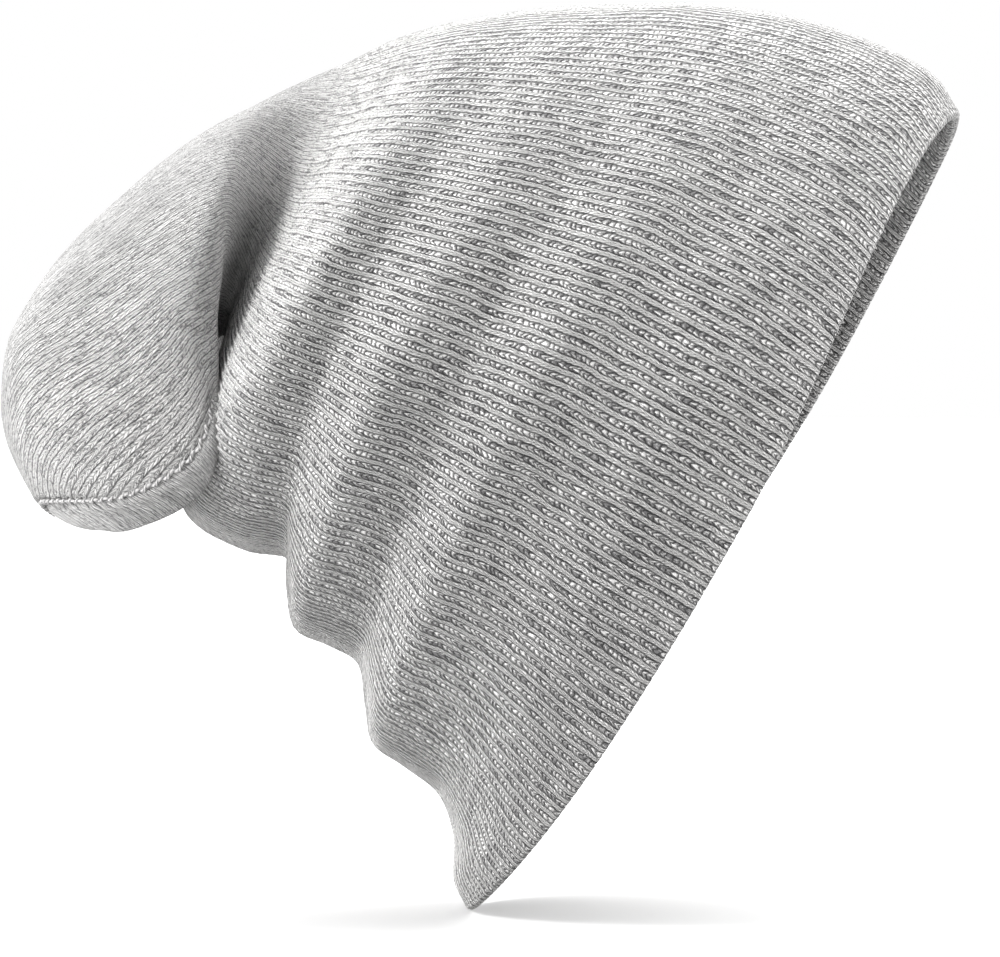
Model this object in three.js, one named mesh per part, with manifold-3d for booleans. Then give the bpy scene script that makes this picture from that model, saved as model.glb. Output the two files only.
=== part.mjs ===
// A soft slouch beanie held in the shape it takes on a head, in millimetres with +Z up.
// The origin is the centre of the head opening. The front of the hem is toward +X,
// the slouched crown hangs toward -X and the two flanks face -Y and +Y.
import * as THREE from "three";
import loadManifold from "manifold-3d";

// The wall is a knitted tube folded at the hem, so it is two layers thick all over.
// Where the slouch folds to a narrow tip the layers are pressed together, so the wall
// takes no more than PRESSED_SHARE of the largest ball that fits inside there.
const WALL = 2.5;
const PRESSED_SHARE = 0.3;
const COLUMNS = 44;
const RING_STEP = 0.5;
const LAST_RING = 28.5;
const ARC_STEPS = 160;
const HEM_ROUND_ANGLES = [45, 90, 135];

// The far half of the hem reaches a little past the near half at the front.
const HEM_OUTWARD = { x: 0.8535, z: -0.521 };
const HEM_LEAN = 8.0;
const HEM_LEAN_ROWS = 5.0;

// The slouched crown is turned slightly, so that its near flank is nearer the front.
const POUCH_SKEW = { x: 2.3, rise: [12, 17], fall: [26, 29] };

// The crown is closed by four seams, a quarter of the way round from each other.
const SEAM_FIRST_ROW = 21;
const SEAM_HALF_WIDTH = 1.3;
const SEAM_RISE = 0.9;
const SEAM_EDGE_RISE = 0.4;
const SEAM_GAP = 0.35;

const NEAR = -1;
const FAR = 1;

// One row for each closed loop round the hat, from the hem to the crown.
// frontX, frontZ: the point of the loop on the brow line, in the plane Y = 0.
// sideX, sideZ: the point of the loop on the flank, halfWidth from that plane.
// backX, backZ: the point of the loop on the nape line, in the plane Y = 0.
// fold: how far the knit stands out there, a crest if above zero and a trough if below.
// flat: 1 makes the loop an oval, and less makes its flanks flatter and its ends blunter.
const SECTIONS = [
  // frontX, frontZ, sideX, sideZ, halfWidth, backX, backZ, fold, flat
  [55.0, 86.0, 6.8, -3.8, 82.0, -53.0, -88.5, 0.0, 1.0], // 0 hem
  [49.0, 94.0, -0.7, 0.5, 83.0, -55.5, -82.5, 0.0, 1.0],
  [37.5, 100.5, -13.0, 7.5, 85.5, -55.5, -73.0, 0.5, 0.98], // 2 fourth crest
  [25.5, 104.5, -26.5, 15.0, 86.5, -59.0, -63.5, -1.5, 0.96],
  [17.5, 106.5, -33.0, 19.0, 87.0, -66.5, -57.5, 0.0, 0.95],
  [9.5, 108.0, -40.0, 22.0, 87.5, -73.0, -52.5, 2.0, 0.94], // 5 third crest
  [1.5, 109.0, -46.0, 24.5, 86.5, -74.5, -44.5, 0.0, 0.93],
  [-6.0, 109.5, -52.5, 27.0, 85.0, -76.0, -35.0, -2.5, 0.92],
  [-14.0, 109.3, -58.5, 30.0, 85.0, -82.3, -31.0, 0.0, 0.91],
  [-22.0, 109.0, -65.5, 32.5, 84.5, -89.8, -27.5, 3.0, 0.9], // 9 second crest
  [-29.5, 108.7, -71.5, 35.0, 82.5, -91.5, -19.5, 0.0, 0.89],
  [-36.5, 108.2, -77.5, 37.5, 79.5, -91.3, -12.0, -3.0, 0.88],
  [-44.5, 107.2, -83.0, 39.5, 79.0, -101.2, -10.0, -1.0, 0.88],
  [-52.0, 106.0, -88.5, 42.0, 77.5, -111.5, -5.0, 0.0, 0.88], // 13 first crest
  [-61.0, 104.0, -95.0, 45.0, 70.0, -115.0, 2.0, -4.0, 0.86],
  [-70.3, 101.0, -99.0, 48.0, 57.0, -110.5, 18.5, -6.0, 0.82],
  [-78.9, 97.1, -101.5, 50.5, 48.0, -104.5, 36.0, -6.0, 0.76], // 16 bottom of the crease
  [-88.2, 92.8, -104.0, 51.5, 50.0, -109.0, 35.0, -5.0, 0.68],
  [-98.0, 87.7, -106.0, 50.5, 60.5, -114.0, 24.0, -3.0, 0.6],
  [-108.8, 81.7, -106.5, 42.5, 67.0, -116.5, 16.0, -2.0, 0.55],
  [-119.7, 73.9, -106.5, 34.0, 69.0, -118.5, 11.0, -1.0, 0.52],
  [-129.9, 65.4, -107.0, 25.0, 69.0, -120.0, 8.0, 0.0, 0.5], // 21 crown seams start
  [-139.5, 56.2, -108.5, 17.5, 68.0, -121.0, 5.0, 0.0, 0.5],
  [-147.0, 46.3, -112.0, 11.5, 65.0, -122.0, 2.5, 0.0, 0.5],
  [-152.4, 36.5, -118.5, 6.5, 61.0, -123.5, 0.0, 0.0, 0.52],
  [-154.3, 26.0, -126.5, 3.0, 55.0, -126.0, -2.0, 0.0, 0.55],
  [-154.3, 16.2, -135.0, 1.5, 46.0, -129.0, -4.0, 0.0, 0.6],
  [-151.6, 8.0, -142.0, 1.0, 33.0, -133.0, -5.0, 0.0, 0.65],
  [-147.6, 1.2, -146.0, 0.0, 17.0, -138.0, -5.0, 0.0, 0.75],
  [-143.0, -3.5, -143.0, -3.5, 0.8, -143.0, -3.5, 0.0, 0.9], // 29 where the seams meet
];

// Soft swellings of the loop between the lines above, each over a stretch of rows.
const SWELLINGS = [
  // x, z, half of the loop, the rows it grows over, the rows it fades over
  { x: -1.5, z: 1.0, part: "front", rise: [-1, 0], fall: [1, 3] },
  { x: -2.0, z: 1.7, part: "front", rise: [16, 18.5], fall: [24, 27] },
  { x: 1.0, z: -0.5, part: "back", rise: [-1, 0], fall: [1, 3] },
  { x: 2.5, z: 0.0, part: "back", rise: [17, 20], fall: [22, 25] },
  { x: 0.0, z: -1.8, part: "back", rise: [23, 26], fall: [27, 29] },
];

// Shallow lengthwise dents in the slouched crown, on each flank. round is the share of
// the way round from the brow line, and depth is below the surface.
const DENTS = [
  { row: 20.5, rows: 3.5, round: 0.145, share: 0.028, depth: 1.6 },
  { row: 19.5, rows: 3.0, round: 0.195, share: 0.022, depth: -1.2 },
];

const mix = (a, b, t) => a + (b - a) * t;

function smoothStep(from, to, value) {
  const t = THREE.MathUtils.clamp((value - from) / (to - from), 0, 1);
  return t * t * (3 - 2 * t);
}

// The section at any row number, on a Catmull-Rom curve through the rows.
function sectionAt(row) {
  const last = SECTIONS.length - 1;
  const i = Math.min(Math.floor(row), last - 1);
  const t = row - i;
  return SECTIONS[i].map((p1, column) => {
    const p2 = SECTIONS[i + 1][column];
    const p0 = i > 0 ? SECTIONS[i - 1][column] : 2 * p1 - p2;
    const p3 = i < last - 1 ? SECTIONS[i + 2][column] : 2 * p2 - p1;
    const square = 2 * p0 - 5 * p1 + 4 * p2 - p3;
    const cube = 3 * p1 - p0 - 3 * p2 + p3;
    return 0.5 * (2 * p1 + (p2 - p0) * t + square * t * t + cube * t * t * t);
  });
}

// 0 before the rise and after the fall, and 1 between them.
function windowAt(row, { rise, fall }) {
  return smoothStep(...rise, row) * (1 - smoothStep(...fall, row));
}

function swellingAt(row, part) {
  const sum = { x: 0, z: 0 };
  for (const swelling of SWELLINGS) {
    if (swelling.part !== part) continue;
    const weight = windowAt(row, swelling);
    sum.x += swelling.x * weight;
    sum.z += swelling.z * weight;
  }
  return sum;
}

// A point of the outer surface. angle is 0 at the brow line and half a turn at the nape line.
function surfacePoint(section, row, angle, side) {
  const [frontX, frontZ, sideX, sideZ, halfWidth, backX, backZ, fold, flat] = section;
  const c = Math.cos(angle);
  const s = Math.max(Math.sin(angle), 0);
  const wave = Math.cos(2 * angle);
  const between = Math.sin(2 * angle) ** 2;
  const swelling = swellingAt(row, angle < Math.PI / 2 ? "front" : "back");
  const along = (front, middle, back) =>
    (front + back + 2 * middle) / 4 + ((front - back) / 2) * c + ((front + back - 2 * middle) / 4) * wave;
  const lean = HEM_LEAN * Math.max(0, 1 - row / HEM_LEAN_ROWS) ** 1.5;
  const outward = lean * side * s * ((1 + c) / 2) ** 2;
  const skew = POUCH_SKEW.x * windowAt(row, POUCH_SKEW);
  const x = along(frontX, sideX, backX) + swelling.x * between + HEM_OUTWARD.x * outward;
  const z = along(frontZ, sideZ, backZ) + swelling.z * between + HEM_OUTWARD.z * outward;
  const y = halfWidth * s ** flat + (fold * s * (1 - c)) / 2;
  return new THREE.Vector3(x - side * skew * s, side * y, z);
}

// Half a loop, from the brow line to the nape line. Each quarter's points are evenly spaced.
function halfLoop(row, side) {
  const section = sectionAt(row);
  const angles = Array.from({ length: ARC_STEPS + 1 }, (_, i) => (Math.PI * i) / ARC_STEPS);
  const points = angles.map((angle) => surfacePoint(section, row, angle, side));
  const lengths = [0];
  for (let i = 1; i <= ARC_STEPS; i++) {
    lengths.push(lengths[i - 1] + points[i].distanceTo(points[i - 1]));
  }
  const flank = lengths[ARC_STEPS / 2];
  const quarter = COLUMNS / 4;
  const loop = [];
  let i = 0;
  for (let k = 0; k <= 2 * quarter; k++) {
    const behind = (k - quarter) / quarter;
    const goal = k <= quarter ? (flank * k) / quarter : mix(flank, lengths[ARC_STEPS], behind);
    while (i < ARC_STEPS - 1 && lengths[i + 1] < goal) i++;
    const t = (goal - lengths[i]) / (lengths[i + 1] - lengths[i]);
    const angle = mix(angles[i], angles[i + 1], t);
    const point = surfacePoint(section, row, angle, side);
    point.y -= side * dentAt(row, k / COLUMNS);
    loop.push(point);
  }
  return loop;
}

function dentAt(row, round) {
  let depth = 0;
  for (const dent of DENTS) {
    const along = (row - dent.row) / dent.rows;
    const across = (round - dent.round) / dent.share;
    depth += dent.depth * Math.exp(-along * along - across * across);
  }
  return depth;
}

// A whole loop: the near flank from the brow line to the nape line, then back along the far one.
function loopAt(row) {
  const near = halfLoop(row, NEAR);
  const far = halfLoop(row, FAR);
  return [...near, ...far.slice(1, -1).reverse()];
}

const wrap = (k) => (k + COLUMNS) % COLUMNS;

// Outward directions of the outer surface at each loop's points.
function outwardDirections(loops, apex) {
  return loops.map((loop, i) =>
    loop.map((_, k) => {
      const towardCrown = i < loops.length - 1 ? loops[i + 1][k] : apex;
      const towardHem = loops[Math.max(i - 1, 0)][k];
      const lengthwise = towardCrown.clone().sub(towardHem);
      const round = loop[wrap(k + 1)].clone().sub(loop[wrap(k - 1)]);
      return lengthwise.cross(round).normalize();
    })
  );
}

// A closed solid from a stack of loops with a point at each end.
function closedStack(firstPoint, loops, lastPoint) {
  const count = loops[0].length;
  const vertices = [firstPoint, ...loops.flat(), lastPoint];
  const faces = [];
  const at = (i, k) => 1 + i * count + (k % count);
  for (let k = 0; k < count; k++) {
    faces.push([0, at(0, k + 1), at(0, k)]);
    faces.push([vertices.length - 1, at(loops.length - 1, k), at(loops.length - 1, k + 1)]);
  }
  for (let i = 0; i < loops.length - 1; i++) {
    for (let k = 0; k < count; k++) {
      faces.push([at(i, k), at(i, k + 1), at(i + 1, k + 1)]);
      faces.push([at(i, k), at(i + 1, k + 1), at(i + 1, k)]);
    }
  }
  return { vertices, faces };
}

function toGeometry({ vertices, faces }) {
  const geometry = new THREE.BufferGeometry();
  const positions = new Float32Array(vertices.flatMap((v) => [v.x, v.y, v.z]));
  geometry.setAttribute("position", new THREE.BufferAttribute(positions, 3));
  geometry.setIndex(faces.flat());
  geometry.computeVertexNormals();
  return geometry;
}

const rows = [];
for (let row = 0; row <= LAST_RING; row += RING_STEP) rows.push(row);
const outer = rows.map(loopAt);
const apex = surfacePoint(sectionAt(SECTIONS.length - 1), SECTIONS.length - 1, 0, NEAR);
const outward = outwardDirections(outer, apex);
const apexOutward = new THREE.Vector3();
outward.at(-1).forEach((direction) => apexOutward.add(direction));
apexOutward.normalize();

function wallAt(point, direction) {
  let radius = Infinity;
  for (const other of outer.flat()) {
    const apart = point.clone().sub(other);
    const depth = apart.dot(direction);
    if (depth > 0.01) radius = Math.min(radius, apart.lengthSq() / (2 * depth));
  }
  return Math.min(WALL, PRESSED_SHARE * radius);
}

const inner = outer.map((loop, i) =>
  loop.map((point, k) => {
    const direction = outward[i][k];
    return point.clone().addScaledVector(direction, -wallAt(point, direction));
  })
);
const innerApex = apex.clone().addScaledVector(apexOutward, -WALL);

// The knit turns over at the hem in a small round.
const hem = HEM_ROUND_ANGLES.map((degrees) => {
  const angle = THREE.MathUtils.degToRad(degrees);
  return outer[0].map((point, k) => {
    const middle = point.clone().lerp(inner[0][k], 0.5);
    const away = point.clone().sub(outer[1][k]).normalize();
    middle.addScaledVector(outward[0][k], (Math.cos(angle) * WALL) / 2);
    return middle.addScaledVector(away, (Math.sin(angle) * WALL) / 2);
  });
});

const shell = closedStack(apex, [...outer.toReversed(), ...hem, ...inner], innerApex);

// A raised seam from one side of the crown over the apex to the other side.
function seamStrip(column) {
  const first = rows.indexOf(SEAM_FIRST_ROW);
  const arm = (k) =>
    outer.slice(first).map((loop, i) => {
      const left = loop[wrap(k - 1)].clone().sub(loop[k]);
      const right = loop[wrap(k + 1)].clone().sub(loop[k]);
      const width = Math.min(SEAM_HALF_WIDTH, left.length() * 0.9);
      return {
        centre: loop[k],
        up: outward[first + i][k],
        left: left.setLength(width),
        right: right.setLength(width),
      };
    });
  const flip = ({ centre, up, left, right }) => ({ centre, up, left: right, right: left });
  const out = arm(column);
  const back = arm(wrap(column + COLUMNS / 2)).map(flip).reverse();
  const across = out.at(-1).left.clone().sub(out.at(-1).right).setLength(SEAM_HALF_WIDTH);
  const top = { centre: apex, up: apexOutward, left: across, right: across.clone().negate() };
  const stations = [...out, top, ...back];
  const loops = stations.map(({ centre, up, left, right }) => {
    const lifted = (sideways, height) =>
      centre.clone().add(sideways).addScaledVector(up, SEAM_GAP + height);
    const none = new THREE.Vector3();
    return [
      lifted(left, 0),
      lifted(none, 0),
      lifted(right, 0),
      lifted(right, SEAM_EDGE_RISE),
      lifted(none, SEAM_RISE),
      lifted(left, SEAM_EDGE_RISE),
    ];
  });
  const middleOf = (loop) => loop[1].clone().lerp(loop[4], 0.5);
  return closedStack(middleOf(loops[0]), loops, middleOf(loops.at(-1)));
}

const manifold = await loadManifold();
manifold.setup();

function toManifold({ vertices, faces }) {
  return manifold.Manifold.ofMesh(
    new manifold.Mesh({
      numProp: 3,
      vertProperties: new Float32Array(vertices.flatMap((v) => [v.x, v.y, v.z])),
      triVerts: new Uint32Array(faces.flat()),
    })
  );
}

function fromManifold(solid) {
  const mesh = solid.getMesh();
  const geometry = new THREE.BufferGeometry();
  geometry.setAttribute("position", new THREE.BufferAttribute(mesh.vertProperties, 3));
  geometry.setIndex(new THREE.BufferAttribute(mesh.triVerts, 1));
  geometry.computeVertexNormals();
  return geometry;
}

const seams = toManifold(seamStrip(0)).add(toManifold(seamStrip(COLUMNS / 4)));

const knit = new THREE.MeshStandardMaterial({ color: 0x9a9895, roughness: 0.95, metalness: 0 });
const yarn = new THREE.MeshStandardMaterial({ color: 0x6f6d6b, roughness: 0.95, metalness: 0 });

const hat = new THREE.Group();

function addPiece(name, geometry, material) {
  const mesh = new THREE.Mesh(geometry, material);
  mesh.name = name;
  hat.add(mesh);
}

addPiece("knit_shell", toGeometry(shell), knit);
addPiece("crown_seam", fromManifold(seams), yarn);

export default hat;
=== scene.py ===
"""A soft slouch beanie in heathered grey rib knit, in the shape that it has when worn.

Run as a script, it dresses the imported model: the knitted wall with its ribs, folds and
turned hem, the gathered seams of the crown, and a plain pale studio with its camera.
"""

import math

import bpy
import numpy as np
from bpy.props import FloatProperty, FloatVectorProperty, IntProperty, PointerProperty
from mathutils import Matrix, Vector, noise


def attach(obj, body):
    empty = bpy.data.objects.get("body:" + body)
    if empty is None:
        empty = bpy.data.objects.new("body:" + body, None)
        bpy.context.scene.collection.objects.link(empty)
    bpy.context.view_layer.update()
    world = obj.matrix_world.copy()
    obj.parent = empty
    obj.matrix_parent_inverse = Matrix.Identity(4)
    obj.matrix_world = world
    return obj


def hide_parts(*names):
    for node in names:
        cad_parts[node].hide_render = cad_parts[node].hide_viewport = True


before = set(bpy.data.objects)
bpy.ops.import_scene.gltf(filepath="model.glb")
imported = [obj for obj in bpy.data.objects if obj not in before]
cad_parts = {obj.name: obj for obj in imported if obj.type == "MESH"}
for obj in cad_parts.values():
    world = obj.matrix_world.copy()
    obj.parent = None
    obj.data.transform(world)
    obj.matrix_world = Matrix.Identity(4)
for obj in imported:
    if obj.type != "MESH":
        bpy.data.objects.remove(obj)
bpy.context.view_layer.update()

bl_info = {
    "name": "Slouch beanie",
    "version": (1, 0, 0),
    "blender": (4, 5, 0),
    "location": "View3D > Sidebar > Slouch beanie",
    "description": "Builds a rib-knit slouch hat and the studio that it is shown in",
    "category": "Add Mesh",
}

MM = 0.001
NEAR, FAR = -1, 1

# One row for each closed loop round the hat, from the hem to the crown, in millimetres.
# front: the point on the brow line, side: on the flank, half_width from the middle plane,
# back: on the nape line. fold is above 0 for a crest and below 0 for a trough.
# flat is 1 for an oval loop, and less for flatter flanks and blunter ends.
SECTIONS = np.array([
    # front_x front_z side_x side_z half_width back_x back_z fold flat
    (55.0, 86.0, 6.8, -3.8, 82.0, -53.0, -88.5, 0.0, 1.0),  # 0 hem
    (49.0, 94.0, -0.7, 0.5, 83.0, -55.5, -82.5, 0.0, 1.0),
    (37.5, 100.5, -13.0, 7.5, 85.5, -55.5, -73.0, 0.5, 0.98),  # 2 fourth crest
    (25.5, 104.5, -26.5, 15.0, 86.5, -59.0, -63.5, -1.5, 0.96),
    (17.5, 106.5, -33.0, 19.0, 87.0, -66.5, -57.5, 0.0, 0.95),
    (9.5, 108.0, -40.0, 22.0, 87.5, -73.0, -52.5, 2.0, 0.94),  # 5 third crest
    (1.5, 109.0, -46.0, 24.5, 86.5, -74.5, -44.5, 0.0, 0.93),
    (-6.0, 109.5, -52.5, 27.0, 85.0, -76.0, -35.0, -2.5, 0.92),
    (-14.0, 109.3, -58.5, 30.0, 85.0, -82.3, -31.0, 0.0, 0.91),
    (-22.0, 109.0, -65.5, 32.5, 84.5, -89.8, -27.5, 3.0, 0.9),  # 9 second crest
    (-29.5, 108.7, -71.5, 35.0, 82.5, -91.5, -19.5, 0.0, 0.89),
    (-36.5, 108.2, -77.5, 37.5, 79.5, -91.3, -12.0, -3.0, 0.88),
    (-44.5, 107.2, -83.0, 39.5, 79.0, -101.2, -10.0, -1.0, 0.88),
    (-52.0, 106.0, -88.5, 42.0, 77.5, -111.5, -5.0, 0.0, 0.88),  # 13 first crest
    (-61.0, 104.0, -95.0, 45.0, 70.0, -115.0, 2.0, -4.0, 0.86),
    (-70.3, 101.0, -99.0, 48.0, 57.0, -110.5, 18.5, -6.0, 0.82),
    (-78.9, 97.1, -101.5, 50.5, 48.0, -104.5, 36.0, -6.0, 0.76),  # 16 bottom of the crease
    (-88.2, 92.8, -104.0, 51.5, 50.0, -109.0, 35.0, -5.0, 0.68),
    (-98.0, 87.7, -106.0, 50.5, 60.5, -114.0, 24.0, -3.0, 0.6),
    (-108.8, 81.7, -106.5, 42.5, 67.0, -116.5, 16.0, -2.0, 0.55),
    (-119.7, 73.9, -106.5, 34.0, 69.0, -118.5, 11.0, -1.0, 0.52),
    (-129.9, 65.4, -107.0, 25.0, 69.0, -120.0, 8.0, 0.0, 0.5),  # 21 crown seams start
    (-139.5, 56.2, -108.5, 17.5, 68.0, -121.0, 5.0, 0.0, 0.5),
    (-147.0, 46.3, -112.0, 11.5, 65.0, -122.0, 2.5, 0.0, 0.5),
    (-152.4, 36.5, -118.5, 6.5, 61.0, -123.5, 0.0, 0.0, 0.52),
    (-154.3, 26.0, -126.5, 3.0, 55.0, -126.0, -2.0, 0.0, 0.55),
    (-154.3, 16.2, -135.0, 1.5, 46.0, -129.0, -4.0, 0.0, 0.6),
    (-151.6, 8.0, -142.0, 1.0, 33.0, -133.0, -5.0, 0.0, 0.65),
    (-147.6, 1.2, -146.0, 0.0, 17.0, -138.0, -5.0, 0.0, 0.75),
    (-143.0, -3.5, -143.0, -3.5, 0.8, -143.0, -3.5, 0.0, 0.9),  # 29 where the seams meet
])
LAST_ROW = len(SECTIONS) - 1
SEAM_FIRST_ROW = 21.0

HEM_OUTWARD = (0.8535, -0.521)
HEM_LEAN = 8.0
HEM_LEAN_ROWS = 5.0

# Soft swellings between the three lines: x, z, half of the loop, rows of rise, rows of fall.
SWELLINGS = (
    (-1.5, 1.0, "front", (-1, 0), (1, 3)),
    (-2.0, 1.7, "front", (16, 18.5), (24, 27)),
    (1.0, -0.5, "back", (-1, 0), (1, 3)),
    (2.5, 0.0, "back", (17, 20), (22, 25)),
    (0.0, -1.8, "back", (23, 26), (27, 29)),
)
POUCH_SKEW = (2.3, (12, 17), (26, 29))

# Shallow lengthwise dents in the slouched crown: row, rows, share round, its width, depth.
# The last one is the roll of the slouch over its inner edge.
DENTS = (
    (20.5, 3.5, 0.145, 0.028, 1.6),
    (19.5, 3.0, 0.195, 0.022, -1.2),
    (19.0, 3.2, 0.25, 0.035, 7.0),
)

# Each half loop is measured in this many steps, to space its points evenly.
ARC_STEPS = 240

# The two faces end just short of the point where the crown seams meet.
OUTER_LAST_ROW = 28.97
INNER_LAST_ROW = 28.9

# The wall takes up this share of the room in the tips of the slouch, found on a coarse grid.
PRESSED_SHARE = 0.3
PRESSED_ROWS = np.arange(0, 28.75, 0.5)
PRESSED_COLUMNS = 44

# The ribs of the slouch slant round the hat by this share of a turn, over these rows. They
# stay straight on the brow line until the crown seam frees them, and on the nape line.
RIB_SLANT = 0.14
SLANT_ROWS = (14.5, 26.5)
SLANT_SEAM_ROWS = (14, 24)
SLANT_BROW_TURN = (0, 0.09)
SLANT_NAPE_TURN = (0.25, 0.47)

# The knit is stretched near the hem and eases in the slouch, over these rows. Where it has
# eased, its wales show close together, this many to a rib.
EASE_ROWS = (11, 18)
CLOSE_WALES = 1.5

# The modelled ribs fade out over these rows, and to a share of their height at the hem.
RELIEF_ROWS = (14, 17)
HEM_EDGE = 6.0
HEM_RELIEF_SHARE = 0.3
HEM_ANGLES = np.radians([30, 60, 90, 120, 150])

# Unevenness of the knit, outward and along the loops: size of the lumps, height and seed.
LUMPS = ((34.0, 0.5, 1.0), (13.0, 0.28, 2.0))
SWAYS = ((16.0, 0.55, 5.0), (6.0, 0.2, 6.0))
RIB_UNEVENNESS = ((9.0, 0.35, 3.0),)

# The crown seams lie in a groove that puckers with each stitch of their yarn.
SEAM_STITCH = 3.4
SEAM_START = (0.0, 0.06)
CROWN_END = (0.9, 0.995)
GROOVE_WIDTH = 1.5
GROOVE_DEPTH = 0.9
PUCKER_WIDTH = 3.5
PUCKER_HEIGHT = 0.3
SEAM_YARN_ROWS = (SEAM_FIRST_ROW + 0.15, 28.85)
SEAM_YARN_STEPS = 160
SEAM_YARN_SIDES = 8
SEAM_YARN_SWING = 0.35
SEAM_YARN_RISE = 0.15
SEAM_YARN_SUNK = 0.45

# The photograph is 1000 pixels wide, and the camera looks at this point of the hat.
IMAGE_WIDTH = 1000
SENSOR_WIDTH = 36.0
TARGET = Vector((-0.0455, 0.0, 0.0054))
KEY_DIRECTION = Vector((-0.78, -0.3, 0.5))
KEY_DISTANCE = 2.0
KEY_SIZE = 0.7
FLOOR_SIZE = 12
FLOOR_WHITE = 0.66


def smooth_step(start, end, value):
    t = np.clip((value - start) / (end - start), 0, 1)
    return t * t * (3 - 2 * t)


def window(rows, rise, fall):
    return smooth_step(*rise, rows) * (1 - smooth_step(*fall, rows))


def sections_at(rows):
    """The section at each row number, on a Catmull-Rom curve through the table."""
    i = np.clip(np.floor(rows).astype(int), 0, LAST_ROW - 1)
    t = (rows - i)[:, None]
    p1, p2 = SECTIONS[i], SECTIONS[i + 1]
    p0 = np.where((i > 0)[:, None], SECTIONS[np.maximum(i - 1, 0)], 2 * p1 - p2)
    p3 = np.where((i < LAST_ROW - 1)[:, None], SECTIONS[np.minimum(i + 2, LAST_ROW)], 2 * p2 - p1)
    square = 2 * p0 - 5 * p1 + 4 * p2 - p3
    cube = 3 * p1 - p0 - 3 * p2 + p3
    return 0.5 * (2 * p1 + (p2 - p0) * t + square * t**2 + cube * t**3)


def surface_points(rows, angles, side):
    """Points of the outer face. rows is one number a loop and angles one list a loop."""
    table = sections_at(rows)
    front_x, front_z, side_x, side_z, half_width, back_x, back_z, fold, flat = table.T[:, :, None]
    row = rows[:, None]
    c = np.cos(angles)
    s = np.clip(np.sin(angles), 0, 1)
    between = np.sin(2 * angles) ** 2
    x = (front_x + back_x + 2 * side_x) / 4 + (front_x - back_x) / 2 * c
    x = x + (front_x + back_x - 2 * side_x) / 4 * np.cos(2 * angles)
    z = (front_z + back_z + 2 * side_z) / 4 + (front_z - back_z) / 2 * c
    z = z + (front_z + back_z - 2 * side_z) / 4 * np.cos(2 * angles)
    for swell_x, swell_z, part, rise, fall in SWELLINGS:
        half = angles < math.pi / 2 if part == "front" else angles >= math.pi / 2
        weight = window(row, rise, fall) * between * half
        x = x + swell_x * weight
        z = z + swell_z * weight
    lean = HEM_LEAN * np.clip(1 - row / HEM_LEAN_ROWS, 0, None) ** 1.5
    outward = lean * side * s * ((1 + c) / 2) ** 2
    skew = POUCH_SKEW[0] * window(row, *POUCH_SKEW[1:])
    x = x + HEM_OUTWARD[0] * outward - side * skew * s
    z = z + HEM_OUTWARD[1] * outward
    y = side * (half_width * s**flat + fold * s * (1 - c) / 2)
    return np.stack([x, y, z], axis=-1)


def half_loops(rows, columns, side):
    """Half loops from the brow line to the nape line, each quarter's points evenly spaced."""
    table = np.broadcast_to(np.linspace(0, math.pi, ARC_STEPS + 1), (len(rows), ARC_STEPS + 1))
    points = surface_points(rows, table, side)
    steps = np.linalg.norm(np.diff(points, axis=1), axis=2)
    lengths = np.concatenate([np.zeros((len(rows), 1)), np.cumsum(steps, axis=1)], axis=1)
    share = np.linspace(0, 2, columns // 2 + 1)
    angles = np.empty((len(rows), len(share)))
    for i, length in enumerate(lengths):
        flank = length[ARC_STEPS // 2]
        goal = np.where(share <= 1, share * flank, flank + (share - 1) * (length[-1] - flank))
        angles[i] = np.interp(goal, length, table[i])
    points = surface_points(rows, angles, side)
    for row, span, round_share, width, depth in DENTS:
        along = ((rows - row) / span)[:, None]
        across = (share / 4 - round_share) / width
        points[:, :, 1] -= side * depth * np.exp(-along**2 - across**2)
    return points


def whole_loops(rows, columns):
    near = half_loops(rows, columns, NEAR)
    far = half_loops(rows, columns, FAR)
    return np.concatenate([near, far[:, -2:0:-1]], axis=1)


def unit(vectors):
    return vectors / np.maximum(np.linalg.norm(vectors, axis=-1, keepdims=True), 1e-9)


def outward_directions(loops, end):
    """Outward directions of a stack of loops that closes on the point end."""
    ahead = np.concatenate([loops[1:], np.broadcast_to(end, (1,) + loops.shape[1:])])
    behind = np.concatenate([loops[:1], loops[:-1]])
    around = np.roll(loops, -1, axis=1) - np.roll(loops, 1, axis=1)
    return unit(np.cross(ahead - behind, around))


def crown_point():
    return surface_points(np.array([float(LAST_ROW)]), np.zeros((1, 1)), NEAR)[0, 0]


def rows_by_length(count, last_row):
    """Row numbers for loops that lie about equally far apart, and their distance from the hem."""
    fine = np.linspace(0, last_row, 600)
    loops = whole_loops(fine, 8)
    steps = np.linalg.norm(np.diff(loops[:, 1:4:2], axis=0), axis=2).mean(axis=1)
    length = np.concatenate([[0], np.cumsum(steps)])
    goal = np.linspace(0, length[-1], count)
    return np.interp(goal, length, fine), goal


def wall_thickness(rows, columns, wall):
    """The wall is thinner where the knit is pressed together in the tips of the slouch."""
    coarse = whole_loops(PRESSED_ROWS, PRESSED_COLUMNS)
    normals = outward_directions(coarse, crown_point())
    flat = coarse.reshape(-1, 3)
    room = np.empty(len(flat))
    for i, (point, normal) in enumerate(zip(flat, normals.reshape(-1, 3))):
        apart = point - flat
        depth = apart @ normal
        good = depth > 0.01
        room[i] = ((apart[good] ** 2).sum(axis=1) / (2 * depth[good])).min()
    limit = np.minimum(wall, PRESSED_SHARE * room).reshape(coarse.shape[:2])
    limit = np.concatenate([limit, limit[:, :1]], axis=1)
    places = np.arange(PRESSED_COLUMNS + 1)
    around = np.arange(columns) / columns * PRESSED_COLUMNS
    by_column = np.array([np.interp(around, places, line) for line in limit])
    return np.array([np.interp(rows, PRESSED_ROWS, line) for line in by_column.T]).T


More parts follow.
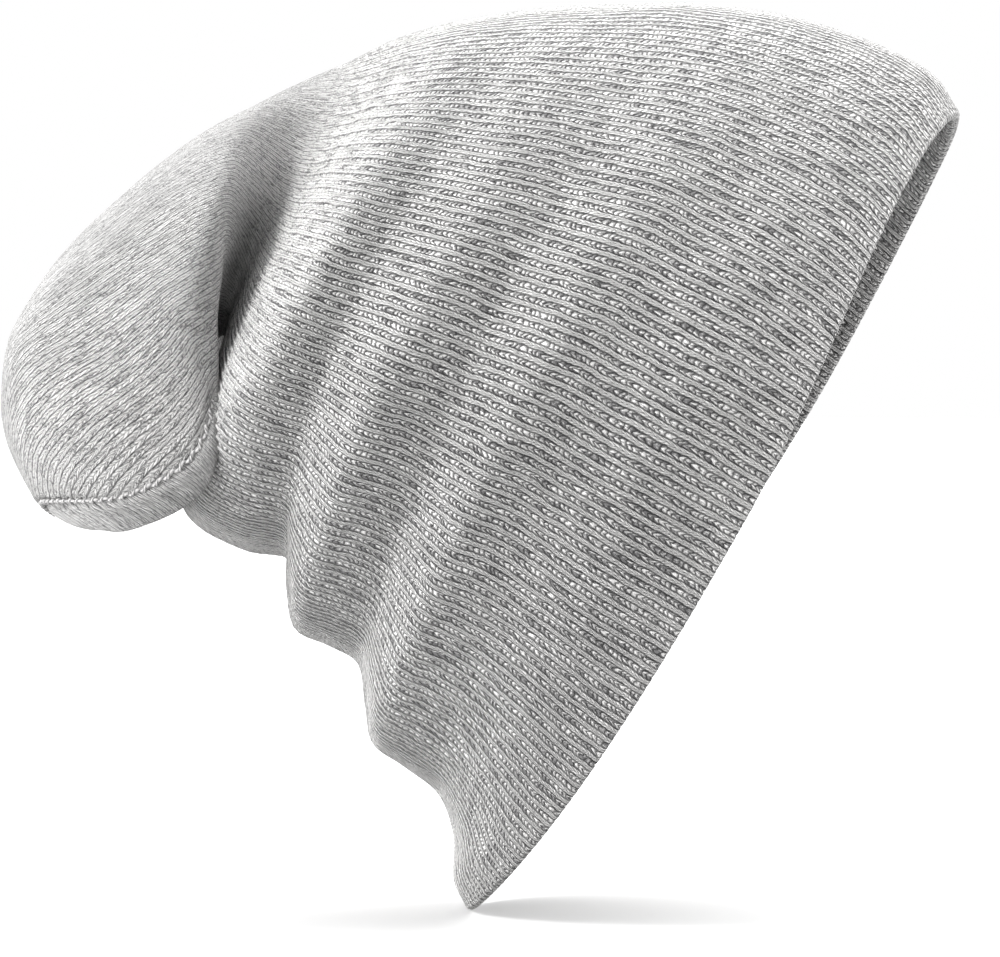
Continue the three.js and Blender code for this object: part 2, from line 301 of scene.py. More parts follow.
def knit_noise(points, size, seed):
    """Smooth repeatable unevenness between about -1 and 1, over lumps of the given size."""
    flat = points.reshape(-1, 3) / size
    values = [noise.noise(Vector(p) + Vector((seed, 0.37 * seed, 1.7 * seed))) for p in flat]
    return np.array(values).reshape(points.shape[:-1])


def uneven(points, layers):
    return sum(height * knit_noise(points, size, seed) for size, height, seed in layers)


def dart_share(rows):
    """0 where the crown seams start and no rib has ended yet, growing to 1 where they meet."""
    return np.clip((rows - SEAM_FIRST_ROW) / (LAST_ROW - SEAM_FIRST_ROW), 0, 1)


def rib_position(turn, panel_turn, rows, ribs):
    """Which rib lies at a share of the way round. Ribs keep their width in the crown's four
    panels, so that they end at the seams, and they slant toward the brow line in the slouch."""
    turn, panel_turn, rows = np.broadcast_arrays(turn, panel_turn, rows)
    far = panel_turn > 0.5
    half_turn = np.where(far, 1 - turn, turn)
    middle = np.where(np.where(far, 1 - panel_turn, panel_turn) < 0.25, 0.125, 0.375)
    slant = RIB_SLANT * smooth_step(*SLANT_ROWS, rows)
    free_edge = smooth_step(*SLANT_SEAM_ROWS, rows)
    spread = free_edge + (1 - free_edge) * smooth_step(*SLANT_BROW_TURN, half_turn)
    spread = spread * (1 - smooth_step(*SLANT_NAPE_TURN, half_turn))
    kept = (1 - dart_share(rows)) * (half_turn - middle - slant * (1 - spread))
    held = middle + slant + kept
    return ribs * np.where(far, 1 - held, held)


class KnitSettings(bpy.types.PropertyGroup):
    ribs: IntProperty(name="Ribs", description="Ribs round the hem", default=216, min=40, max=400)
    wall: FloatProperty(
        name="Wall", description="Thickness of the doubled knit", default=2.5 * MM, unit="LENGTH")
    course: FloatProperty(
        name="Course", description="Height of one stitch", default=1.25 * MM, unit="LENGTH")
    rib_height: FloatProperty(
        name="Rib height", description="Height of a rib over its groove", default=0.6 * MM,
        unit="LENGTH")
    loops: IntProperty(
        name="Loops", description="Loops of the mesh from hem to crown", default=150, min=40, max=400)
    light_yarn: FloatVectorProperty(
        name="Light yarn", description="Colour of the pale strand", default=(0.9, 0.89, 0.88),
        subtype="COLOR", min=0, max=1)
    dark_yarn: FloatVectorProperty(
        name="Dark yarn", description="Colour of the dark strand", default=(0.16, 0.157, 0.16),
        subtype="COLOR", min=0, max=1)
    seam_yarn: FloatProperty(
        name="Seam yarn", description="Thickness of the yarn in the crown seams",
        default=0.9 * MM, unit="LENGTH")
    bump: FloatProperty(
        name="Stitch depth", description="Height of the stitches in the surface",
        default=0.75 * MM, unit="LENGTH")


class StageSettings(bpy.types.PropertyGroup):
    azimuth: FloatProperty(
        name="Camera azimuth", description="Angle of the camera to the right of the flank",
        default=math.radians(1.0), subtype="ANGLE")
    elevation: FloatProperty(
        name="Camera elevation", description="Angle of the camera above the hat",
        default=math.radians(1.5), subtype="ANGLE")
    distance: FloatProperty(
        name="Camera distance", description="Distance from the camera to the hat", default=1.6,
        unit="LENGTH")
    pixel: FloatProperty(
        name="Pixel size", description="Size of one pixel at the hat", default=0.22 * MM,
        unit="LENGTH", precision=6)
    floor_drop: FloatProperty(
        name="Floor drop", description="Height of the floor under the hat", default=-0.0895,
        unit="LENGTH")
    key_power: FloatProperty(
        name="Key light", description="Power of the large light at the upper left", default=38.0,
        subtype="POWER")
    sky: FloatProperty(
        name="Overhead light", description="Strength of the soft light from above", default=4.2)
    left: FloatProperty(
        name="Left light", description="Strength of the soft light from the left", default=4.9)
    front: FloatProperty(
        name="Front light", description="Strength of the light from the camera's side", default=0.06)
    bounce: FloatProperty(
        name="Floor bounce", description="Share of the light that the floor gives back to the hat",
        default=0.47, min=0, max=1)


class Graph:
    """Builds nodes in a tree and links them."""

    def __init__(self, tree):
        self.tree = tree
        tree.nodes.clear()

    def node(self, kind, inputs=None, **settings):
        made = self.tree.nodes.new(kind)
        for key, value in settings.items():
            setattr(made, key, value)
        for key, value in (inputs or {}).items():
            self.feed(value, made.inputs[key])
        return made

    def feed(self, value, socket):
        if isinstance(value, bpy.types.NodeSocket):
            self.tree.links.new(value, socket)
        else:
            socket.default_value = value

    def math(self, operation, *values):
        return self.node("ShaderNodeMath", dict(enumerate(values)), operation=operation).outputs[0]

    def ramp(self, value, low, high, to_low=0.0, to_high=1.0):
        made = self.node("ShaderNodeMapRange", {"Value": value}, interpolation_type="SMOOTHSTEP")
        ends = {"From Min": low, "From Max": high, "To Min": to_low, "To Max": to_high}
        for label, end in ends.items():
            self.feed(end, made.inputs[label])
        return made.outputs["Result"]

    def combine(self, x, y, z=0.0):
        return self.node("ShaderNodeCombineXYZ", {"X": x, "Y": y, "Z": z}).outputs[0]

    def noise(self, vector, scale, detail=2.0, roughness=0.5):
        inputs = {"Vector": vector, "Scale": scale, "Detail": detail, "Roughness": roughness}
        return self.node("ShaderNodeTexNoise", inputs).outputs["Fac"]

    def mix(self, factor, first, second):
        inputs = {0: factor, 2: first, 3: second}
        return self.node("ShaderNodeMix", inputs, data_type="FLOAT").outputs[0]

    def mix_vector(self, factor, first, second):
        made = self.node("ShaderNodeMix", data_type="VECTOR")
        for slot, value in zip((0, 4, 5), (factor, first, second)):
            self.feed(value, made.inputs[slot])
        return made.outputs[1]

    def mix_colour(self, factor, first, second):
        made = self.node("ShaderNodeMix", data_type="RGBA")
        for slot, value in zip((0, 6, 7), (factor, first, second)):
            self.feed(value, made.inputs[slot])
        return made.outputs[2]

    def scaled(self, vector, factor):
        inputs = {0: vector, "Scale": factor}
        return self.node("ShaderNodeVectorMath", inputs, operation="SCALE").outputs[0]

    def stretched(self, vector, x, y):
        inputs = {0: vector, 1: (x, y, 1.0)}
        return self.node("ShaderNodeVectorMath", inputs, operation="MULTIPLY").outputs[0]


def new_group(name, inputs, outputs):
    tree = bpy.data.node_groups.new(name, "ShaderNodeTree")
    graph = Graph(tree)
    for label, kind, default in inputs:
        socket = tree.interface.new_socket(label, in_out="INPUT", socket_type=kind)
        if default is not None:
            socket.default_value = default
    for label, kind in outputs:
        tree.interface.new_socket(label, in_out="OUTPUT", socket_type=kind)
    source = graph.node("NodeGroupInput").outputs
    target = graph.node("NodeGroupOutput").inputs
    return tree, graph, source, target


def rib_stitch_group():
    """Stitches of 1 by 1 rib. X counts ribs and Y counts courses. Ease is 0 where the rib is
    stretched open and 1 where the knit wales have closed over the purl ones."""
    tree, g, source, target = new_group(
        "rib_stitches",
        [("Stitch", "NodeSocketVector", None), ("Ease", "NodeSocketFloat", 0.0)],
        [("Height", "NodeSocketFloat"), ("Wale", "NodeSocketFloat"), ("Cell", "NodeSocketVector")],
    )
    split = g.node("ShaderNodeSeparateXYZ", {0: source["Stitch"]}).outputs
    ease = source["Ease"]
    slow = g.combine(g.math("MULTIPLY", split["X"], 0.8), g.math("MULTIPLY", split["Y"], 0.42))
    sway = g.math("SUBTRACT", g.noise(slow, 1.0, 2.0), 0.5)
    x = g.math("ADD", split["X"], g.math("MULTIPLY", sway, 0.3))
    quick = g.combine(g.math("MULTIPLY", split["X"], 1.9), g.math("MULTIPLY", split["Y"], 0.3), 7.0)
    jolt = g.noise(quick, 1.0, 1.0)
    y = g.math("ADD", split["Y"], g.math("MULTIPLY", jolt, 2.2))

    def knit_wale(position, half_wale):
        """The two legs of each knit stitch lean together into a long narrow V."""
        whole = g.math("FLOOR", g.math("ADD", position, 0.5))
        across = g.math("SUBTRACT", position, whole)
        reach = g.math("ABSOLUTE", across)
        within = g.math("DIVIDE", reach, half_wale)
        wale = g.ramp(within, 1.15, 0.75)
        turn = g.math("SUBTRACT", y, g.math("MULTIPLY", within, 1.15))
        wave = g.math("ABSOLUTE", g.math("COSINE", g.math("MULTIPLY", turn, math.pi)))
        slit = g.ramp(within, 0.0, 0.35, 0.35, 1.0)
        leg = g.math("MULTIPLY", g.math("POWER", wave, 0.55), slit)
        strand = g.math("ADD", g.math("MULTIPLY", whole, 4.0), g.math("SIGN", across))
        stitch = g.math("FLOOR", g.math("ADD", turn, 0.5))
        cell = g.combine(strand, stitch, g.math("GREATER_THAN", wale, 0.5))
        return reach, wale, g.math("MULTIPLY", leg, wale), cell

    reach, wale, knit, cell = knit_wale(x, 0.19)
    # The purl bumps lie across the groove between the wales.
    away = g.math("SUBTRACT", 0.5, reach)
    bar_turn = g.math("ADD", y, g.math("MULTIPLY", away, 1.6))
    bar = g.math("ABSOLUTE", g.math("COSINE", g.math("MULTIPLY", bar_turn, math.pi)))
    purl = g.math("MULTIPLY", g.math("MULTIPLY", bar, g.ramp(away, 0.26, 0.12)), 0.75)
    open_height = g.math("ADD", knit, g.math("MULTIPLY", purl, g.math("SUBTRACT", 1.0, wale)))
    # Where the rib eases, only close knit wales are seen.
    _, close_wale, close_knit, close_cell = knit_wale(g.math("MULTIPLY", x, CLOSE_WALES), 0.42)
    closed = g.math("GREATER_THAN", ease, 0.5)
    g.feed(g.mix(ease, open_height, close_knit), target["Height"])
    g.feed(g.mix(ease, wale, g.math("MULTIPLY", close_wale, 0.55)), target["Wale"])
    g.feed(g.mix_vector(closed, cell, close_cell), target["Cell"])
    return tree


def marl_and_shade_group():
    """Marled yarn: a pale and a dark strand twisted together, with a few loose fibres. The colour also
    holds painted shade in the grooves between the stitches and a painted highlight on the knit wales.
    """
    tree, g, source, target = new_group(
        "marled_yarn_and_shade",
        [
            ("Stitch", "NodeSocketVector", None),
            ("Cell", "NodeSocketVector", None),
            ("Ease", "NodeSocketFloat", 0.0),
            ("Height", "NodeSocketFloat", 0.5),
            ("Wale", "NodeSocketFloat", 0.5),
            ("Light", "NodeSocketColor", None),
            ("Dark", "NodeSocketColor", None),
        ],
        [("Color", "NodeSocketColor")],
    )

    yarn = g.node("ShaderNodeTexWhiteNoise", {"Vector": source["Cell"]}).outputs["Value"]
    streak = g.noise(g.stretched(source["Stitch"], 6.0, 1.1), 1.0, 3.0, 0.65)
    fleck = g.noise(g.stretched(source["Stitch"], 4.5, 3.0), 1.0, 2.0, 0.75)
    # The flecks stand out more where the knit has eased.
    weight = g.ramp(source["Ease"], 0.0, 1.0, 0.9, 2.2)
    fleck = g.math("ADD", g.math("MULTIPLY", g.math("SUBTRACT", fleck, 0.5), weight), 0.45)
    blend = g.math("ADD", g.math("MULTIPLY", yarn, 0.6), g.math("MULTIPLY", streak, 0.8))
    blend = g.math("ADD", blend, fleck)
    # Painted highlight: the raised knit wales are given more of the pale strand than the grooves
    # between them.
    blend = g.math("ADD", blend, g.math("MULTIPLY", source["Wale"], 0.4))
    colour = g.mix_colour(g.ramp(blend, 0.88, 1.4), source["Dark"], source["Light"])
    # Painted shade: the grooves between the stitches are darkened in colour, and less so where the knit
    # has eased.
    darkest_groove_shade = g.ramp(source["Ease"], 0.0, 1.0, 0.16, 0.36)
    shade = g.mix(g.ramp(source["Height"], 0.05, 0.55), darkest_groove_shade, 1.0)
    fibre = g.noise(g.stretched(source["Stitch"], 11.0, 3.1), 1.0, 2.0, 0.8)
    share = g.ramp(fibre, 0.62, 0.8, 0.0, 0.5)
    g.feed(g.mix_colour(share, g.scaled(colour, shade), source["Light"]), target["Color"])
    return tree


def knit_material(settings):
    material = bpy.data.materials.new("heathered_rib_knit")
    material.use_nodes = True
    g = Graph(material.node_tree)
    uv = g.node("ShaderNodeUVMap", uv_map="stitches").outputs[0]
    ease = g.node("ShaderNodeAttribute", attribute_name="ease").outputs["Fac"]
    stitch = g.node("ShaderNodeGroup", node_tree=bpy.data.node_groups["rib_stitches"])
    g.feed(uv, stitch.inputs["Stitch"])
    g.feed(ease, stitch.inputs["Ease"])
    marl_and_shade = g.node("ShaderNodeGroup", node_tree=bpy.data.node_groups["marled_yarn_and_shade"])
    g.feed(uv, marl_and_shade.inputs["Stitch"])
    g.feed(ease, marl_and_shade.inputs["Ease"])
    for name in ("Cell", "Height", "Wale"):
        g.feed(stitch.outputs[name], marl_and_shade.inputs[name])
    marl_and_shade.inputs["Light"].default_value = (*settings.light_yarn, 1)
    marl_and_shade.inputs["Dark"].default_value = (*settings.dark_yarn, 1)
    # Painted shade: the colour is darkened where the knit has eased, on the slouch, to offset the light
    # that falls there from the left.
    eased_shade = g.ramp(ease, 0.0, 1.0, 1.0, 0.62)
    depth = g.ramp(ease, 0.0, 1.0, settings.bump, 0.6 * settings.bump)
    height = stitch.outputs["Height"]
    bump = g.node("ShaderNodeBump", {"Strength": 1.0, "Distance": depth, "Height": height})
    shader = g.node("ShaderNodeBsdfPrincipled", {
        "Base Color": g.scaled(marl_and_shade.outputs["Color"], eased_shade),
        "Normal": bump.outputs[0],
        "Roughness": 0.95,
        "Specular IOR Level": 0.15,
        "Sheen Weight": 0.25,
        "Sheen Roughness": 0.6,
    })
    g.node("ShaderNodeOutputMaterial", {"Surface": shader.outputs[0]})
    return material


def ring_edges(start, columns):
    """The two ends of each edge of a ring of vertices that starts at start."""
    k = np.arange(columns)
    return start + k, start + (k + 1) % columns


def grid_faces(first, second, columns):
    """Quads between two rings of vertices that start at first and second."""
    a, b = ring_edges(first, columns)
    d, c = ring_edges(second, columns)
    return np.stack([a, b, c, d], axis=1)


def corner_ribs(columns, first_row, second_row, ribs):
    """Rib numbers at the corners of the quads between two loops."""
    start = np.arange(columns) / columns
    end = start + 1 / columns
    panel = start + 0.5 / columns
    low = [rib_position(edge, panel, first_row, ribs) for edge in (start, end)]
    high = [rib_position(edge, panel, second_row, ribs) for edge in (end, start)]
    return np.stack([*low, *high], axis=1)


class KnitFaces:
    """Collects faces, and the rib number and the course number at each of their corners."""

    def __init__(self, ribs):
        self.ribs = ribs
        self.faces = []
        self.numbers = []

    def add(self, faces, rib_numbers, course_numbers):
        self.faces.extend(faces.tolist())
        self.numbers.append(np.stack([rib_numbers, course_numbers], axis=-1).reshape(-1, 2))

    def add_strip(self, starts, columns, rows, courses):
        """Quads between two rings. The other lists hold one value for each ring."""
        quads = grid_faces(*starts, columns)
        heights = np.broadcast_to([courses[0]] * 2 + [courses[1]] * 2, quads.shape)
        self.add(quads, corner_ribs(columns, *rows, self.ribs), heights)


def mesh_object(name, vertices, faces, corner_uvs=None, ease=None):
    mesh = bpy.data.meshes.new(name)
    mesh.from_pydata(vertices.tolist(), [], faces)
    if corner_uvs is not None:
        layer = mesh.uv_layers.new(name="stitches")
        layer.uv.foreach_set("vector", np.asarray(corner_uvs, dtype=np.float32).ravel())
    if ease is not None:
        mesh.attributes.new("ease", "FLOAT", "POINT").data.foreach_set("value", ease.astype(np.float32))
    mesh.shade_smooth()
    mesh.update()
    made = bpy.data.objects.new(name, mesh)
    bpy.context.scene.collection.objects.link(made)
    return made


def knit_relief(smooth, rows, lengths, settings):
    """Height of the ribs over the smooth face."""
    columns = smooth.shape[1]
    turn = np.arange(columns) / columns
    relief = settings.rib_height / MM / 2 * np.cos(2 * math.pi * settings.ribs * turn)[None, :]
    relief = relief * (1 - smooth_step(*RELIEF_ROWS, rows))[:, None]
    hem_share = HEM_RELIEF_SHARE + (1 - HEM_RELIEF_SHARE) * smooth_step(0, HEM_EDGE, lengths)
    return relief * hem_share[:, None] * (1 + uneven(smooth, RIB_UNEVENNESS))


def seam_distance(loops):
    """Distance along each loop to the nearest of the four crown seams."""
    columns = loops.shape[1]
    turn = np.arange(columns) / columns
    seam_turn = np.abs((turn * 4 + 0.5) % 1 - 0.5) / 4
    lengths = np.linalg.norm(np.roll(loops, -1, axis=1) - loops, axis=2).sum(axis=1)
    return seam_turn[None, :] * lengths[:, None]


def outer_face(smooth, normals, relief, rows, lengths):
    """The outer face with its ribs, its unevenness and the puckered grooves of the seams."""
    crown_fade = 1 - smooth_step(*CROWN_END, dart_share(rows))[:, None]
    seam_start = smooth_step(*SEAM_START, dart_share(rows))[:, None]
    distance = seam_distance(smooth)
    groove = np.exp(-(distance / GROOVE_WIDTH) ** 2) * seam_start
    wave = PUCKER_HEIGHT * np.cos(2 * math.pi * lengths / SEAM_STITCH)[:, None]
    pucker = wave * np.exp(-(distance / PUCKER_WIDTH) ** 2) * seam_start
    lumps = uneven(smooth, LUMPS) + pucker
    height = (relief * (1 - groove) + lumps) * crown_fade - GROOVE_DEPTH * groove
    sway = uneven(smooth, SWAYS) * crown_fade * (1 - groove)
    around = unit(np.roll(smooth, -1, axis=1) - np.roll(smooth, 1, axis=1))
    return smooth + normals * height[:, :, None] + around * sway[:, :, None]


def hem_roll(smooth, outer, normals, relief, wall):
    """Rings of the small round in which the knit turns over at the hem."""
    normal = normals[0]
    folded = smooth[0] - normal * wall
    middle = (smooth[0] + folded) / 2
    away = unit(smooth[0] - smooth[1])
    lift = outer[0] - smooth[0]
    rings = []
    for angle in HEM_ANGLES:
        out, on = math.cos(angle), math.sin(angle)
        fade = (1 + out) / 2
        ring = middle + normal * (out * wall / 2) + away * (on * wall / 2)
        ribbed = relief[0][:, None] * unit(normal * out + away * on) * (1 - fade)
        rings.append(ring + lift * fade + ribbed * on)
    return np.array(rings)


def inner_face(rows, columns, wall):
    """The inner face, and its point where the crown seams meet."""
    smooth = whole_loops(rows, columns)
    normals = outward_directions(smooth, crown_point())
    thickness = wall_thickness(rows, columns, wall)
    tip = crown_point() - unit(normals[-1].sum(axis=0)) * wall
    return smooth - normals * thickness[:, :, None], tip


def build_knit_mesh(settings):
    """The whole knitted wall as one closed mesh, with its ribs and unevenness."""
    ribs = settings.ribs
    columns = 2 * ribs
    wall = settings.wall / MM
    course = settings.course / MM
    rows, lengths = rows_by_length(settings.loops, OUTER_LAST_ROW)
    smooth = whole_loops(rows, columns)
    normals = outward_directions(smooth, crown_point())
    relief = knit_relief(smooth, rows, lengths, settings)
    outer = outer_face(smooth, normals, relief, rows, lengths)
    hem = hem_roll(smooth, outer, normals, relief, wall)
    inner_rows, inner_lengths = rows_by_length(settings.loops * 2 // 3, INNER_LAST_ROW)
    inner, inner_tip = inner_face(inner_rows, ribs, wall)

    parts = (outer, hem, inner, crown_point(), inner_tip)
    vertices = np.concatenate([part.reshape(-1, 3) for part in parts])
    hem_start = len(outer) * columns
    inner_start = hem_start + len(hem) * columns
    tip = inner_start + len(inner) * ribs
    mesh = KnitFaces(ribs)

    # The outer face, from the hem to the crown, and the fan of faces at its point.
    courses = lengths / course
    for i in range(len(rows) - 1):
        starts = ((i + 1) * columns, i * columns)
        mesh.add_strip(starts, columns, (rows[i + 1], rows[i]), (courses[i + 1], courses[i]))
    here, there = ring_edges((len(rows) - 1) * columns, columns)
    fan = np.stack([there, np.full(columns, tip), here], axis=1)
    fan_ribs = corner_ribs(columns, rows[-1], rows[-1], ribs)[:, [1, 2, 0]]
    mesh.add(fan, fan_ribs, np.full(fan.shape, courses[-1]))

    # The roll of the hem. The courses count on past it, below zero, up the inner face.
    hem_courses = -np.concatenate([[0], HEM_ANGLES]) * wall / 2 / course
    starts = [0, *(hem_start + columns * np.arange(len(hem)))]
    for j in range(len(hem)):
        mesh.add_strip(starts[j:j + 2], columns, (0.0, 0.0), hem_courses[j:j + 2])

    # The inner face has half as many columns, so three faces join each rib to it.
    j = np.arange(ribs)
    here, there = ring_edges(inner_start, ribs)
    edge = starts[-1] + 2 * j
    next_edge = starts[-1] + (2 * j + 2) % columns
    bottom, top = hem_courses[-1], -math.pi * wall / 2 / course
    for corners, shares, heights in (
        ((edge, edge + 1, here), (0, 0.5, 0), (bottom, bottom, top)),
        ((edge + 1, there, here), (0.5, 1, 0), (bottom, top, top)),
        ((edge + 1, next_edge, there), (0.5, 1, 1), (bottom, bottom, top)),
    ):
        mesh.add(np.stack(corners, axis=1), j[:, None] + shares, np.broadcast_to(heights, (ribs, 3)))

    courses = top - inner_lengths / course
    for i in range(len(inner_rows) - 1):
        starts = inner_start + ribs * np.array([i, i + 1])
        mesh.add_strip(starts, ribs, inner_rows[i:i + 2], courses[i:i + 2])
    here, there = ring_edges(inner_start + (len(inner_rows) - 1) * ribs, ribs)
    fan = np.stack([here, there, np.full(ribs, tip + 1)], axis=1)
    mesh.add(fan, np.repeat(j[:, None], 3, axis=1), np.full(fan.shape, courses[-1]))

    ease = np.concatenate([
        np.repeat(smooth_step(*EASE_ROWS, rows), columns),
        np.zeros(len(hem) * columns),
        np.repeat(smooth_step(*EASE_ROWS, inner_rows), ribs),
        np.ones(2),
    ])
    return vertices * MM, mesh.faces, np.concatenate(mesh.numbers), ease


def seam_yarn_mesh(settings):
    """Four wavy yarns that lie in the grooves of the crown seams, each closed at its ends."""
    radius = settings.seam_yarn / 2 / MM
    sides = SEAM_YARN_SIDES
    loops = whole_loops(np.linspace(*SEAM_YARN_ROWS, SEAM_YARN_STEPS), 8)
    normals = outward_directions(loops, crown_point())
    angles = 2 * math.pi * np.arange(sides) / sides
    side = np.arange(sides) / sides
    corner_sides = np.stack([side, side + 1 / sides, side + 1 / sides, side], axis=1)
    vertices, faces, uvs = [], [], []
    for column in (0, 2, 4, 6):
        line, out = loops[:, column], normals[:, column]
        step = np.linalg.norm(np.diff(line, axis=0), axis=1)
        length = np.concatenate([[0], np.cumsum(step)])
        across = unit(np.cross(out, unit(np.gradient(line, axis=0))))
        wave = 2 * math.pi * length / SEAM_STITCH
        swing = (SEAM_YARN_SWING * np.sin(wave))[:, None]
        rise = (SEAM_YARN_RISE * np.cos(wave) - SEAM_YARN_SUNK)[:, None]
        line = line + across * swing + out * rise
        circle = across[:, None] * np.cos(angles)[None, :, None]
        circle = circle + out[:, None] * np.sin(angles)[None, :, None]
        first = len(vertices) * len(line) * sides
        vertices.append((line[:, None] + radius * circle).reshape(-1, 3))
        for i in range(len(line) - 1):
            ring = first + i * sides
            faces.extend(grid_faces(ring, ring + sides, sides).tolist())
            heights = np.broadcast_to([length[i]] * 2 + [length[i + 1]] * 2, corner_sides.shape)
            uvs.append(np.stack([corner_sides, heights], axis=-1).reshape(-1, 2))
        last = first + (len(line) - 1) * sides
        faces.append(list(range(first + sides - 1, first - 1, -1)))
        faces.append(list(range(last, last + sides)))
        uvs.append(np.zeros((2 * sides, 2)))
    return np.concatenate(vertices) * MM, faces, np.concatenate(uvs)


def seam_material(settings):
    """Dark yarn of two twisted strands. X goes round the yarn and Y counts millimetres."""
    material = bpy.data.materials.new("seam_yarn")
    material.use_nodes = True
    g = Graph(material.node_tree)
    uv = g.node("ShaderNodeUVMap", uv_map="stitches").outputs[0]
    split = g.node("ShaderNodeSeparateXYZ", {0: uv}).outputs
    turn = g.math("ADD", g.math("MULTIPLY", split["X"], 2.0), g.math("MULTIPLY", split["Y"], 0.9))
    strand = g.math("ABSOLUTE", g.math("COSINE", g.math("MULTIPLY", turn, math.pi)))
    place = g.node("ShaderNodeTexCoord").outputs["Object"]
    fleck = g.noise(place, 1600.0, 3.0, 0.7)
    share = g.ramp(g.math("ADD", g.math("MULTIPLY", strand, 0.5), fleck), 0.45, 1.15, 0.0, 0.6)
    colour = g.mix_colour(share, (*settings.dark_yarn, 1), (*settings.light_yarn, 1))
    bump = g.node("ShaderNodeBump", {"Strength": 0.8, "Distance": 0.2 * MM, "Height": strand})
    shader = g.node("ShaderNodeBsdfPrincipled", {
        "Base Color": colour, "Normal": bump.outputs[0], "Roughness": 0.9, "Specular IOR Level": 0.2})
    g.node("ShaderNodeOutputMaterial", {"Surface": shader.outputs[0]})
    return material


class BEANIE_OT_crown_seam(bpy.types.Operator):
    """Lay the gathered yarn in the seams that close the crown"""

    bl_idname = "beanie.crown_seam"
    bl_label = "Crown seams"

    def execute(self, context):
        settings = context.scene.beanie_knit
        piece = mesh_object("crown_seam_yarn", *seam_yarn_mesh(settings))
        piece.data.materials.append(seam_material(settings))
        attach(piece, "root")
        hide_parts("crown_seam")
        return {"FINISHED"}


class BEANIE_OT_knit_shell(bpy.types.Operator):
    """Knit the wall of the hat: ribs, folds, crease, slouched crown and turned hem"""

    bl_idname = "beanie.knit_shell"
    bl_label = "Knitted wall"

    def execute(self, context):
        settings = context.scene.beanie_knit
        rib_stitch_group()
        marl_and_shade_group()
        piece = mesh_object("knit_wall", *build_knit_mesh(settings))
        piece.data.materials.append(knit_material(settings))
        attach(piece, "root")
        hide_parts("knit_shell")
        return {"FINISHED"}


def studio_world(settings):
    """White behind the hat, and soft light from above and from the left."""
    world = bpy.data.worlds.new("studio")
    world.use_nodes = True
    g = Graph(world.node_tree)
    towards = g.node("ShaderNodeTexCoord").outputs["Generated"]
    split = g.node("ShaderNodeSeparateXYZ", {0: towards}).outputs
    above = g.ramp(split["Z"], 0.05, 0.75, 0.0, settings.sky)
    behind = g.ramp(split["Y"], -0.75, 0.35, 0.12, 1.0)
    sideways = g.ramp(split["X"], -0.8, 0.8, 0.75, 1.5)
    top = g.math("MULTIPLY", g.math("MULTIPLY", above, behind), sideways)
    low = g.math("MULTIPLY", g.ramp(split["Z"], 0.5, 0.05), g.ramp(split["Y"], -1.0, -0.45))
    left = g.math("MULTIPLY", g.ramp(split["X"], -0.35, -0.95, 0.0, settings.left), low)
    light = g.math("ADD", g.math("ADD", top, left), settings.front)
    seen = g.node("ShaderNodeLightPath").outputs["Is Camera Ray"]
    strength = g.mix(seen, light, 1.0)
    sky = g.node("ShaderNodeBackground", {"Color": (1, 1, 1, 1), "Strength": strength})
    g.node("ShaderNodeOutputWorld", {"Surface": sky.outputs[0]})
    return world


def pale_floor(context, settings):
    bpy.ops.object.select_all(action="DESELECT")
    bpy.ops.mesh.primitive_plane_add(size=FLOOR_SIZE, location=(0, 0, 0))
    floor = context.active_object
    floor.name = "floor"
    for vertex in floor.data.vertices:
        vertex.co.z = settings.floor_drop
    paint = bpy.data.materials.new("white_floor")
    paint.use_nodes = True
    g = Graph(paint.node_tree)
    seen = g.node("ShaderNodeLightPath").outputs["Is Camera Ray"]
    white = g.mix_colour(seen, (*[settings.bounce] * 3, 1), (*[FLOOR_WHITE] * 3, 1))
    shader = g.node("ShaderNodeBsdfPrincipled", {"Base Color": white, "Roughness": 0.95})
    g.node("ShaderNodeOutputMaterial", {"Surface": shader.outputs[0]})
    floor.data.materials.append(paint)
    return floor


def key_light(settings):
    light = bpy.data.lights.new("key_light", "AREA")
    light.size = KEY_SIZE
    light.energy = settings.key_power
    holder = bpy.data.objects.new("key_light", light)
    holder.location = TARGET + KEY_DISTANCE * KEY_DIRECTION.normalized()
    holder.rotation_euler = (TARGET - holder.location).to_track_quat("-Z", "Y").to_euler()
    return holder


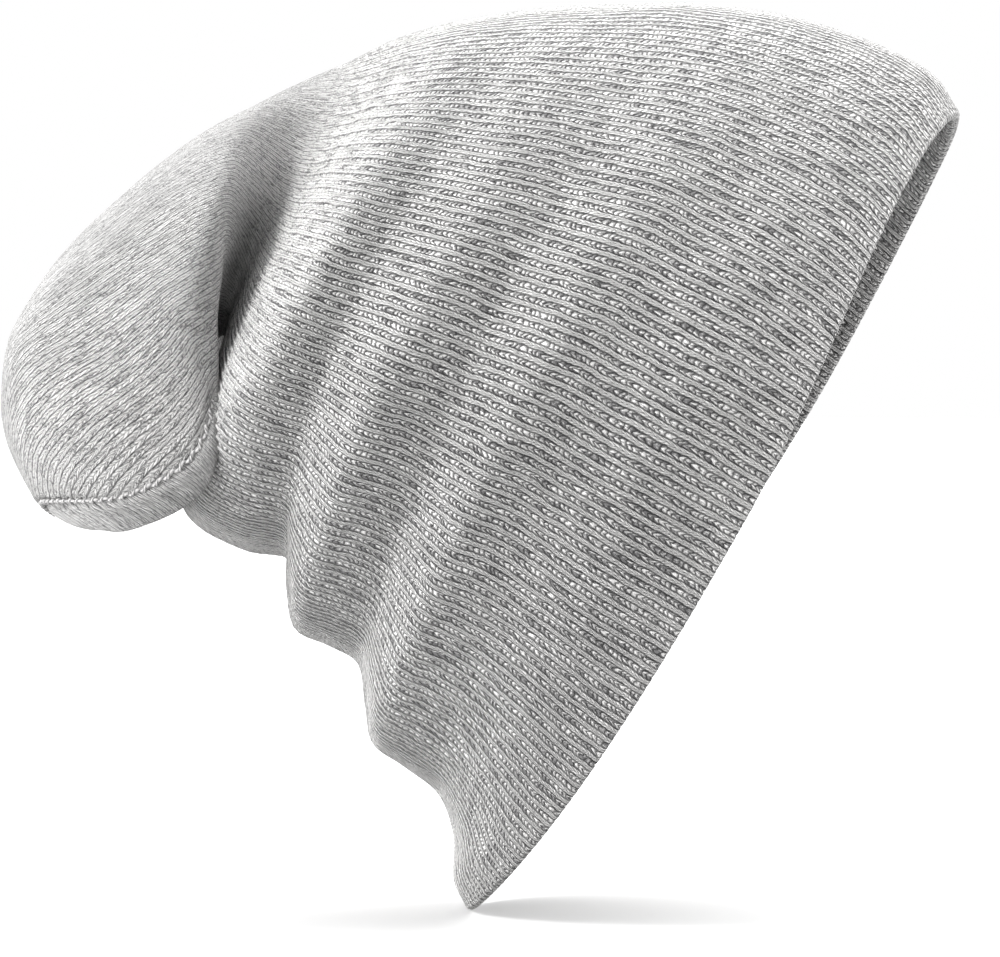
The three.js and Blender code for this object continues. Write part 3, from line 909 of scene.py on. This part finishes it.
def view_camera(settings):
    lens = bpy.data.cameras.new("camera")
    lens.sensor_width = SENSOR_WIDTH
    lens.lens = SENSOR_WIDTH * settings.distance / (IMAGE_WIDTH * settings.pixel)
    lens.clip_end = 50
    camera = bpy.data.objects.new("camera", lens)
    flat = math.cos(settings.elevation) * settings.distance
    away = Vector((
        math.sin(settings.azimuth) * flat,
        -math.cos(settings.azimuth) * flat,
        math.sin(settings.elevation) * settings.distance,
    ))
    camera.location = TARGET + away
    camera.rotation_euler = (-away).to_track_quat("-Z", "Y").to_euler()
    return camera


class BEANIE_OT_stage(bpy.types.Operator):
    """Lay the pale floor and set the studio lights and the camera"""

    bl_idname = "beanie.stage"
    bl_label = "Studio"

    def execute(self, context):
        settings = context.scene.beanie_stage
        pale_floor(context, settings)
        context.scene.world = studio_world(settings)
        context.scene.collection.objects.link(key_light(settings))
        camera = view_camera(settings)
        context.scene.collection.objects.link(camera)
        context.scene.camera = camera
        context.scene.view_settings.view_transform = "Standard"
        return {"FINISHED"}


class BEANIE_PT_panel(bpy.types.Panel):
    bl_idname = "BEANIE_PT_panel"
    bl_label = "Slouch beanie"
    bl_space_type = "VIEW_3D"
    bl_region_type = "UI"
    bl_category = "Slouch beanie"

    def draw(self, context):
        for settings in (context.scene.beanie_knit, context.scene.beanie_stage):
            box = self.layout.box()
            for name in settings.bl_rna.properties.keys():
                if name not in ("rna_type", "name"):
                    box.prop(settings, name)
        for operator in OPERATORS:
            self.layout.operator(operator.bl_idname)


OPERATORS = (BEANIE_OT_knit_shell, BEANIE_OT_crown_seam, BEANIE_OT_stage)
CLASSES = (KnitSettings, StageSettings, *OPERATORS, BEANIE_PT_panel)


def register():
    for cls in CLASSES:
        bpy.utils.register_class(cls)
    bpy.types.Scene.beanie_knit = PointerProperty(type=KnitSettings)
    bpy.types.Scene.beanie_stage = PointerProperty(type=StageSettings)


def unregister():
    del bpy.types.Scene.beanie_stage
    del bpy.types.Scene.beanie_knit
    for cls in reversed(CLASSES):
        bpy.utils.unregister_class(cls)


def main():
    register()
    bpy.ops.beanie.knit_shell()
    bpy.ops.beanie.crown_seam()
    bpy.ops.beanie.stage()


if __name__ == "__main__":
    main()
